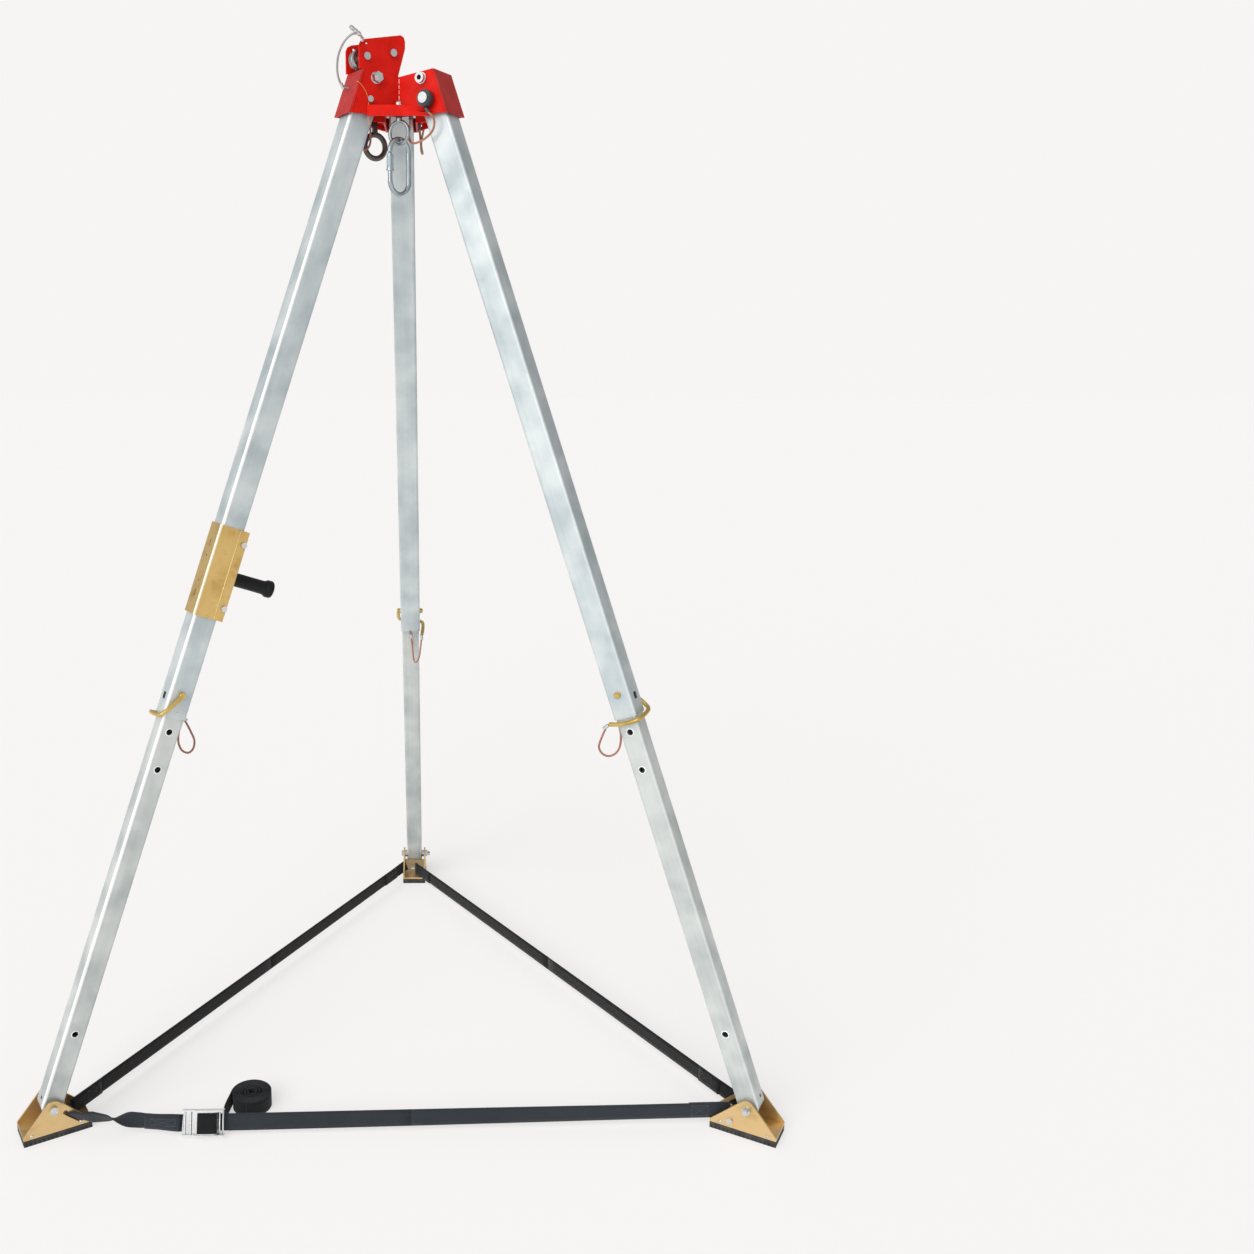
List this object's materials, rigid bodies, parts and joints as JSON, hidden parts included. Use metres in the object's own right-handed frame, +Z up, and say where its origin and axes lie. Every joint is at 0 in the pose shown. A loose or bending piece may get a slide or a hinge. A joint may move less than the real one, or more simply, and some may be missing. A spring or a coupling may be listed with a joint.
{
  "type": "rescue tripod",
  "caption": "Telescopic three-legged rescue tripod: welded head with anchor eyes, rope sheaves, carabiner and locking pins, swivel feet tied by webbing with a cam buckle.",
  "frame": {"origin": "on the floor, under the middle of the box round the three feet", "axes": "+Z up, -Y towards the side seen in the picture, the rear leg towards +Y"},
  "size_m": [1.5814, 1.3696, 2.173],
  "materials": {
    "head_paint": "red powder coat, satin",
    "bright_steel": "zinc plated, satin",
    "dark_steel": "dark forged steel",
    "carabiner_steel": "plated, polished",
    "black_plastic": "moulded, matt",
    "coated_cable": "wire rope in a clear brownish sleeve",
    "tube_aluminium": "drawn, satin",
    "yellow_zinc": "yellow passivated zinc",
    "sole_rubber": "moulded, matt",
    "webbing": "woven, matt"
  },
  "bodies": {
    "head": {"head_plate_front": "head_paint", "head_plate_left": "head_paint", "head_plate_right": "head_paint", "channel_webs": "head_paint", "pivot_fasteners": "bright_steel", "leg_spacers": "black_plastic", "eyebolt_front": "bright_steel", "eyebolt_rear": "dark_steel", "eyebolt_nuts": "bright_steel", "pulley_plates": "head_paint", "sheave_axles": "bright_steel", "bracket_cable": "bright_steel", "lock_lanyards": "coated_cable"},
    "sheave_outer": {"pulley_sheave_outer": "tube_aluminium"},
    "sheave_inner": {"pulley_sheave_inner": "tube_aluminium"},
    "carabiner": {"carabiner_body": "carabiner_steel"},
    "carabiner_gate": {"carabiner_gate": "carabiner_steel"},
    "carabiner_sleeve": {"carabiner_sleeve": "carabiner_steel"},
    "leg_left": {"upper_tube_left": "tube_aluminium", "hitch_lanyard_left": "coated_cable", "winch_bracket": "yellow_zinc", "winch_bracket_bolts": "bright_steel", "winch_clamp_plate": "yellow_zinc", "handle_stud": "bright_steel"},
    "leg_right": {"upper_tube_right": "tube_aluminium", "hitch_lanyard_right": "coated_cable"},
    "leg_rear": {"upper_tube_rear": "tube_aluminium", "hitch_lanyard_rear": "coated_cable"},
    "handle": {"handle_grip": "black_plastic"},
    "shank_left": {"lower_tube_left": "tube_aluminium", "strap_front_end": "webbing"},
    "shank_right": {"lower_tube_right": "tube_aluminium", "strap_front": "webbing"},
    "shank_rear": {"lower_tube_rear": "tube_aluminium", "straps_rear": "webbing"},
    "buckle": {"buckle_frame": "bright_steel", "strap_roll": "webbing"},
    "buckle_cam": {"buckle_cam": "bright_steel"},
    "lock_pin_left": {"lock_pin_left": "bright_steel", "lock_knob_left": "black_plastic"},
    "lock_button_left": {"lock_button_left": "bright_steel"},
    "hitch_pin_left": {"hitch_pin_left": "yellow_zinc"},
    "foot_left": {"foot_bracket_left": "yellow_zinc", "foot_sole_left": "sole_rubber", "foot_bolts_left": "bright_steel"},
    "lock_pin_right": {"lock_pin_right": "bright_steel", "lock_knob_right": "black_plastic"},
    "lock_button_right": {"lock_button_right": "bright_steel"},
    "hitch_pin_right": {"hitch_pin_right": "yellow_zinc"},
    "foot_right": {"foot_bracket_right": "yellow_zinc", "foot_sole_right": "sole_rubber", "foot_bolts_right": "bright_steel"},
    "lock_pin_rear": {"lock_pin_rear": "bright_steel", "lock_knob_rear": "black_plastic"},
    "lock_button_rear": {"lock_button_rear": "bright_steel"},
    "hitch_pin_rear": {"hitch_pin_rear": "yellow_zinc"},
    "foot_rear": {"foot_bracket_rear": "yellow_zinc", "foot_sole_rear": "sole_rubber", "foot_bolts_rear": "bright_steel"}
  },
  "joints": [
    {"name": "fold_left", "type": "hinge", "parent": "head", "child": "leg_left", "pos_m": [-0.06235, -0.24521, 2.088], "axis": [0.5, -0.866, 0], "range_deg": [0, 17.5], "deforming": ["strap_front_end", "strap_roll"]},
    {"name": "extend_left", "type": "slide", "parent": "leg_left", "child": "shank_left", "axis": [0.3042, 0.1756, 0.9363], "range_m": [0, 0.728], "deforming": ["hitch_lanyard_left"]},
    {"name": "foot_tilt_left", "type": "hinge", "parent": "shank_left", "child": "foot_left", "pos_m": [-0.71967, -0.62471, 0.065], "axis": [0.5, -0.866, 0], "range_deg": [-25, 25]},
    {"name": "hitch_pin_pull_left", "type": "slide", "parent": "leg_left", "child": "hitch_pin_left", "axis": [0.5, -0.866, 0], "range_m": [0, 0.064], "deforming": ["hitch_pin_left"]},
    {"name": "lock_pin_pull_left", "type": "slide", "parent": "head", "child": "lock_pin_left", "axis": [-0.5, 0.866, 0], "range_m": [0, 0.09], "deforming": ["lock_lanyards"]},
    {"name": "lock_button_press_left", "type": "slide", "parent": "lock_pin_left", "child": "lock_button_left", "axis": [0.5, -0.866, 0], "range_m": [0, 0.003], "stiffness_N_per_m": 800, "springref_m": -0.003, "deforming": ["lock_pin_left"]},
    {"name": "fold_right", "type": "hinge", "parent": "head", "child": "leg_right", "pos_m": [0.06235, -0.24521, 2.088], "axis": [0.5, 0.866, 0], "range_deg": [0, 17.5], "deforming": ["strap_front"]},
    {"name": "extend_right", "type": "slide", "parent": "leg_right", "child": "shank_right", "axis": [-0.3042, 0.1756, 0.9363], "range_m": [0, 0.728], "deforming": ["hitch_lanyard_right"]},
    {"name": "foot_tilt_right", "type": "hinge", "parent": "shank_right", "child": "foot_right", "pos_m": [0.71967, -0.62471, 0.065], "axis": [0.5, 0.866, 0], "range_deg": [-25, 25]},
    {"name": "hitch_pin_pull_right", "type": "slide", "parent": "leg_right", "child": "hitch_pin_right", "axis": [0.5, 0.866, 0], "range_m": [0, 0.064], "deforming": ["hitch_pin_right"]},
    {"name": "lock_pin_pull_right", "type": "slide", "parent": "head", "child": "lock_pin_right", "axis": [-0.5, -0.866, 0], "range_m": [0, 0.09]},
    {"name": "lock_button_press_right", "type": "slide", "parent": "lock_pin_right", "child": "lock_button_right", "axis": [0.5, 0.866, 0], "range_m": [0, 0.003], "stiffness_N_per_m": 800, "springref_m": -0.003, "deforming": ["lock_pin_right"]},
    {"name": "fold_rear", "type": "hinge", "parent": "head", "child": "leg_rear", "pos_m": [0, -0.13721, 2.088], "axis": [-1, 0, 0], "range_deg": [0, 17.5], "deforming": ["straps_rear"]},
    {"name": "extend_rear", "type": "slide", "parent": "leg_rear", "child": "shank_rear", "axis": [0, -0.3513, 0.9363], "range_m": [0, 0.728], "deforming": ["hitch_lanyard_rear"]},
    {"name": "foot_tilt_rear", "type": "hinge", "parent": "shank_rear", "child": "foot_rear", "pos_m": [0, 0.62179, 0.065], "axis": [-1, 0, 0], "range_deg": [-25, 25]},
    {"name": "hitch_pin_pull_rear", "type": "slide", "parent": "leg_rear", "child": "hitch_pin_rear", "axis": [-1, 0, 0], "range_m": [0, 0.064], "deforming": ["hitch_pin_rear"]},
    {"name": "lock_pin_pull_rear", "type": "slide", "parent": "head", "child": "lock_pin_rear", "axis": [1, 0, 0], "range_m": [0, 0.09]},
    {"name": "lock_button_press_rear", "type": "slide", "parent": "lock_pin_rear", "child": "lock_button_rear", "axis": [-1, 0, 0], "range_m": [0, 0.003], "stiffness_N_per_m": 800, "springref_m": -0.003, "deforming": ["lock_pin_rear"]},
    {"name": "sheave_outer_spin", "type": "hinge", "parent": "head", "child": "sheave_outer", "pos_m": [-0.07794, -0.25421, 2.126], "axis": [0.5, -0.866, 0], "continuous": true},
    {"name": "sheave_inner_spin", "type": "hinge", "parent": "head", "child": "sheave_inner", "pos_m": [-0.02771, -0.22521, 2.138], "axis": [0.5, -0.866, 0], "continuous": true},
    {"name": "carabiner_swing", "type": "hinge", "parent": "head", "child": "carabiner", "pos_m": [0, -0.27021, 1.9665], "axis": [-0.866, 0.5, 0], "range_deg": [-15, 30]},
    {"name": "gate_open", "type": "hinge", "parent": "carabiner", "child": "carabiner_gate", "pos_m": [-0.01768, -0.28789, 1.9464], "axis": [0.7071, -0.7071, 0], "range_deg": [0, 25], "stiffness_Nm_per_rad": 0.3, "springref_deg": -17.19},
    {"name": "sleeve_lock", "type": "slide", "parent": "carabiner_gate", "child": "carabiner_sleeve", "axis": [0, 0, -1], "range_m": [0, 0.014]},
    {"name": "handle_turn", "type": "hinge", "parent": "leg_left", "child": "handle", "pos_m": [-0.32806, -0.39861, 1.10941], "axis": [0.8108, 0.4681, -0.3513], "continuous": true},
    {"name": "buckle_shift", "type": "slide", "parent": "shank_left", "child": "buckle", "axis": [-0.9994, 0.0341, 0], "range_m": [0, 0.173]},
    {"name": "cam_lift", "type": "hinge", "parent": "buckle", "child": "buckle_cam", "pos_m": [-0.37997, -0.64358, 0.02884], "axis": [-0.0079, 0.4225, 0.9063], "range_deg": [0, 40], "stiffness_Nm_per_rad": 0.05, "springref_deg": -17.19}
  ],
  "couplings": [
    {"joint": "fold_right", "follows": "fold_left", "ratio": 1},
    {"joint": "fold_rear", "follows": "fold_left", "ratio": 1},
    {"joint": "extend_right", "follows": "extend_left", "ratio": 1},
    {"joint": "extend_rear", "follows": "extend_left", "ratio": 1},
    {"joint": "buckle_shift", "follows": "fold_left", "m_per_rad": 0.56314}
  ]
}
